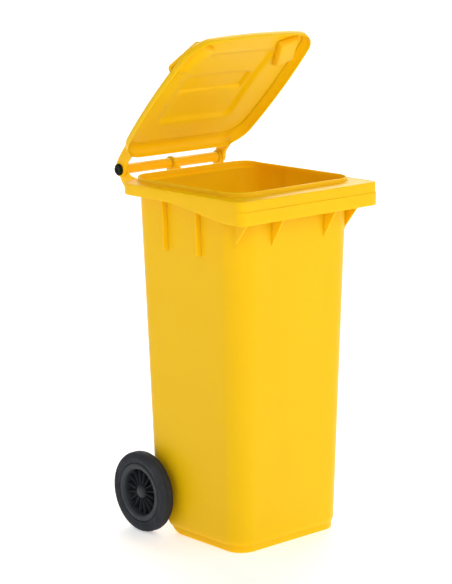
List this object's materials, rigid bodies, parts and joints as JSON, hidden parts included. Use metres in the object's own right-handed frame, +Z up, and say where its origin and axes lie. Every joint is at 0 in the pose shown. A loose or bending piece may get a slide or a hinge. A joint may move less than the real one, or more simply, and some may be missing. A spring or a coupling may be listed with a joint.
{
  "type": "wheelie bin",
  "caption": "Tall tapered plastic wheelie bin with a deep rimmed mouth, rear handle bar, hinged domed lid with corner grips, and spoked wheels on a steel axle.",
  "frame": {"origin": "on the floor, under the middle of the bin's overall width and depth", "axes": "+Z up, front of the bin -Y, wheels and lid hinge +Y, the bin is symmetric about X = 0"},
  "size_m": [0.445, 0.525, 1.2218],
  "materials": {
    "yellow_plastic": "fine-grained satin, injection moulded",
    "black_plastic": "satin",
    "black_rubber": "matt",
    "dark_grey_plastic": "satin",
    "white_nylon": "satin",
    "zinc_plated_steel": "zinc plated"
  },
  "bodies": {
    "bin": {"body": "yellow_plastic", "axle": "zinc_plated_steel", "axle_washer_left": "zinc_plated_steel", "axle_washer_right": "zinc_plated_steel", "retaining_clip_left": "zinc_plated_steel", "retaining_clip_right": "zinc_plated_steel", "hinge_pin_left": "black_plastic", "hinge_pin_right": "black_plastic"},
    "lid": {"lid": "yellow_plastic"},
    "wheel_left": {"tyre_left": "black_rubber", "wheel_hub_left": "dark_grey_plastic", "hub_bush_left": "white_nylon", "hub_cap_left": "dark_grey_plastic"},
    "wheel_right": {"tyre_right": "black_rubber", "wheel_hub_right": "dark_grey_plastic", "hub_bush_right": "white_nylon", "hub_cap_right": "dark_grey_plastic"}
  },
  "joints": [
    {"name": "lid_hinge", "type": "hinge", "parent": "bin", "child": "lid", "pos_m": [0, 0.2445, 0.8825], "axis": [-1, 0, 0], "range_deg": [-45, 225]},
    {"name": "wheel_left_spin", "type": "hinge", "parent": "bin", "child": "wheel_left", "pos_m": [-0.2055, 0.127, 0.1], "axis": [1, 0, 0], "continuous": true},
    {"name": "wheel_right_spin", "type": "hinge", "parent": "bin", "child": "wheel_right", "pos_m": [0.2055, 0.127, 0.1], "axis": [1, 0, 0], "continuous": true}
  ]
}
